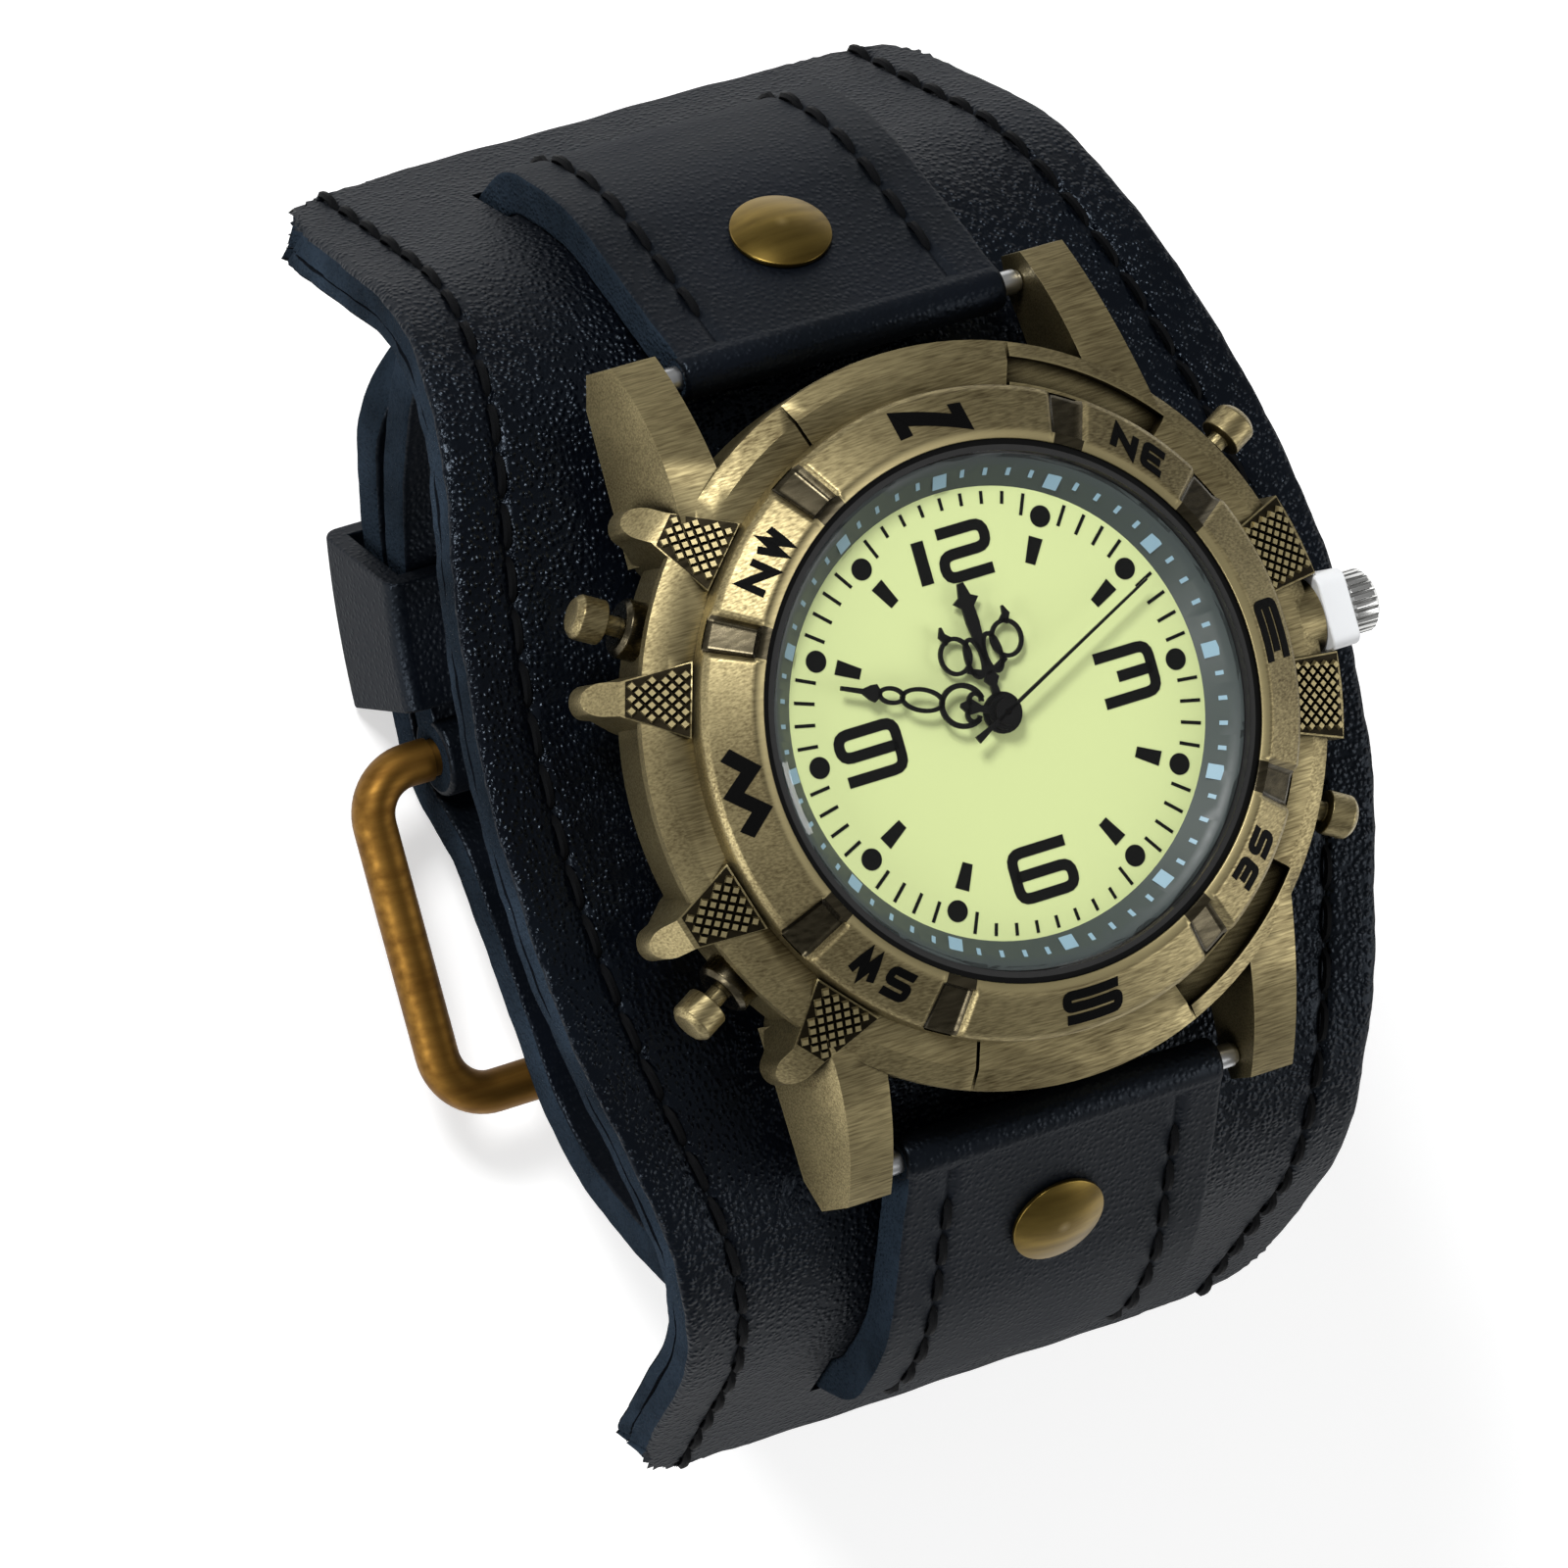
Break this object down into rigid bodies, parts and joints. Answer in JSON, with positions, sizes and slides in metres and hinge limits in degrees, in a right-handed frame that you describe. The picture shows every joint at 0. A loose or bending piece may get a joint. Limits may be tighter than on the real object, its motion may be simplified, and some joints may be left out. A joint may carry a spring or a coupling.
{
  "type": "cuff watch",
  "caption": "Wrist watch with a compass bezel and openwork hands on a wide leather cuff, held by two narrow buckled straps threaded through it.",
  "frame": {"origin": "below the dial's centre, at the height of the lowest point of the buckled straps", "axes": "+X towards 3 o'clock and the crown, +Y towards 12 o'clock, +Z out of the dial; seen from above the dial reads upright with +Y up"},
  "size_m": [0.057, 0.0812, 0.0706],
  "materials": {
    "grain_leather": "black-navy top-grain leather, semi-gloss",
    "lining_leather": "soft black lining leather, matt",
    "antique_brass": "cast, darkened and rubbed back",
    "steel": "fine brushed",
    "glass": "clear mineral glass",
    "white_plastic": "moulded, slightly glossy",
    "rubber": "smooth black",
    "slate_paint": "satin slate paint",
    "dial_paint": "luminous pale green, matt",
    "black_paint": "satin black",
    "movement_brass": "machined, satin",
    "copper": "enamelled copper wire",
    "green_board": "lacquered board",
    "can_metal": "bright nickel",
    "magnet": "sintered dark metal"
  },
  "bodies": {
    "watch": {"cuff_grain_layer": "grain_leather", "cuff_lining": "lining_leather", "strap_upper": "grain_leather", "strap_lower": "grain_leather", "rivet_caps": "antique_brass", "rivet_feet": "antique_brass", "spring_bars": "steel", "case_body": "antique_brass", "bezel_spring": "steel", "crystal": "glass", "crystal_gasket": "rubber", "chapter_ring": "slate_paint", "dial": "dial_paint", "movement_holder": "white_plastic", "case_back": "steel", "back_gasket": "rubber", "crown_tube": "steel", "pusher_sleeves": "antique_brass", "main_plate": "movement_brass", "train_bridge": "movement_brass", "bridge_screws": "steel", "stator": "steel", "coil_core": "steel", "coil": "copper", "circuit_board": "green_board", "quartz_can": "can_metal", "battery": "can_metal", "battery_clamp": "steel", "setting_lever": "steel", "yoke": "steel"},
    "bezel": {"bezel": "antique_brass"},
    "keeper": {"strap_keeper": "grain_leather"},
    "buckle": {"buckle_frame": "antique_brass"},
    "tongue": {"buckle_tongue": "antique_brass"},
    "stopper": {"crown_stopper": "white_plastic"},
    "crown": {"crown": "steel", "winding_stem": "steel", "sliding_pinion": "steel"},
    "pusher_2": {"pusher_2": "antique_brass"},
    "pusher_4": {"pusher_4": "antique_brass"},
    "pusher_8": {"pusher_8": "antique_brass"},
    "pusher_10": {"pusher_10": "antique_brass"},
    "seconds": {"second_hand": "black_paint", "seconds_wheel": "movement_brass"},
    "minutes": {"minute_hand": "black_paint", "cannon_pinion": "movement_brass"},
    "hours": {"hour_hand": "black_paint", "hour_wheel": "movement_brass"},
    "minute_wheel": {"minute_wheel": "movement_brass"},
    "setting_wheel": {"setting_wheel": "movement_brass"},
    "third_wheel": {"third_wheel": "movement_brass"},
    "fifth_wheel": {"fifth_wheel": "movement_brass"},
    "rotor": {"rotor": "magnet"},
    "centre_wheel": {"centre_wheel": "movement_brass"}
  },
  "joints": [
    {"name": "bezel_turn", "type": "hinge", "parent": "watch", "child": "bezel", "pos_m": [0, 0, 0.06787], "axis": [0, 0, 1], "continuous": true},
    {"name": "keeper_slide", "type": "hinge", "parent": "watch", "child": "keeper", "pos_m": [0, 0.00461, 0.0346], "axis": [1, 0, 0], "range_deg": [-2, 2]},
    {"name": "buckle_swing", "type": "hinge", "parent": "watch", "child": "buckle", "pos_m": [0, 0.0044, 0.00667], "axis": [1, 0, 0], "range_deg": [0, 6]},
    {"name": "tongue_swing", "type": "hinge", "parent": "buckle", "child": "tongue", "pos_m": [0, 0.0044, 0.00667], "axis": [1, 0, 0], "range_deg": [0, 8]},
    {"name": "stopper_pull", "type": "slide", "parent": "watch", "child": "stopper", "axis": [0, 0, 1], "range_m": [0, 0.008]},
    {"name": "crown_spin", "type": "hinge", "parent": "watch", "child": "crown", "pos_m": [0.024, 0, 0.06467], "axis": [1, 0, 0], "continuous": true},
    {"name": "setting_spin", "type": "hinge", "parent": "watch", "child": "setting_wheel", "pos_m": [0.0052, 0, 0.06537], "axis": [0, 0, 1], "continuous": true},
    {"name": "minute_wheel_spin", "type": "hinge", "parent": "watch", "child": "minute_wheel", "pos_m": [0.00229, 0.00194, 0.06537], "axis": [0, 0, 1], "continuous": true},
    {"name": "minutes_spin", "type": "hinge", "parent": "watch", "child": "minutes", "pos_m": [0, 0, 0.06787], "axis": [0, 0, 1], "continuous": true},
    {"name": "hours_spin", "type": "hinge", "parent": "watch", "child": "hours", "pos_m": [0, 0, 0.06787], "axis": [0, 0, 1], "continuous": true},
    {"name": "seconds_spin", "type": "hinge", "parent": "watch", "child": "seconds", "pos_m": [0, 0, 0.06787], "axis": [0, 0, 1], "continuous": true},
    {"name": "fifth_spin", "type": "hinge", "parent": "watch", "child": "fifth_wheel", "pos_m": [-0.00295, -0.00206, 0.06537], "axis": [0, 0, 1], "continuous": true},
    {"name": "rotor_spin", "type": "hinge", "parent": "watch", "child": "rotor", "pos_m": [-0.00367, -0.00404, 0.06537], "axis": [0, 0, 1], "continuous": true},
    {"name": "third_spin", "type": "hinge", "parent": "watch", "child": "third_wheel", "pos_m": [-0.00312, 0.0018, 0.06537], "axis": [0, 0, 1], "continuous": true},
    {"name": "centre_spin", "type": "hinge", "parent": "watch", "child": "centre_wheel", "pos_m": [0, 0, 0.06537], "axis": [0, 0, 1], "continuous": true},
    {"name": "press_2", "type": "slide", "parent": "watch", "child": "pusher_2", "axis": [-0.8746, -0.4848, 0], "range_m": [0, 0.0008], "stiffness_N_per_m": 1500, "springref_m": -0.0003},
    {"name": "press_4", "type": "slide", "parent": "watch", "child": "pusher_4", "axis": [-0.8746, 0.4848, 0], "range_m": [0, 0.0008], "stiffness_N_per_m": 1500, "springref_m": -0.0003},
    {"name": "press_8", "type": "slide", "parent": "watch", "child": "pusher_8", "axis": [0.8746, 0.4848, 0], "range_m": [0, 0.0008], "stiffness_N_per_m": 1500, "springref_m": -0.0003},
    {"name": "press_10", "type": "slide", "parent": "watch", "child": "pusher_10", "axis": [0.8746, -0.4848, 0], "range_m": [0, 0.0008], "stiffness_N_per_m": 1500, "springref_m": -0.0003}
  ],
  "couplings": [
    {"joint": "setting_spin", "follows": "crown_spin", "ratio": -0.6},
    {"joint": "minute_wheel_spin", "follows": "crown_spin", "ratio": 0.33333},
    {"joint": "minutes_spin", "follows": "crown_spin", "ratio": -1},
    {"joint": "hours_spin", "follows": "crown_spin", "ratio": -0.083333},
    {"joint": "fifth_spin", "follows": "seconds_spin", "ratio": -5},
    {"joint": "rotor_spin", "follows": "seconds_spin", "ratio": 30},
    {"joint": "third_spin", "follows": "seconds_spin", "ratio": -0.13333},
    {"joint": "centre_spin", "follows": "seconds_spin", "ratio": 0.016667}
  ]
}
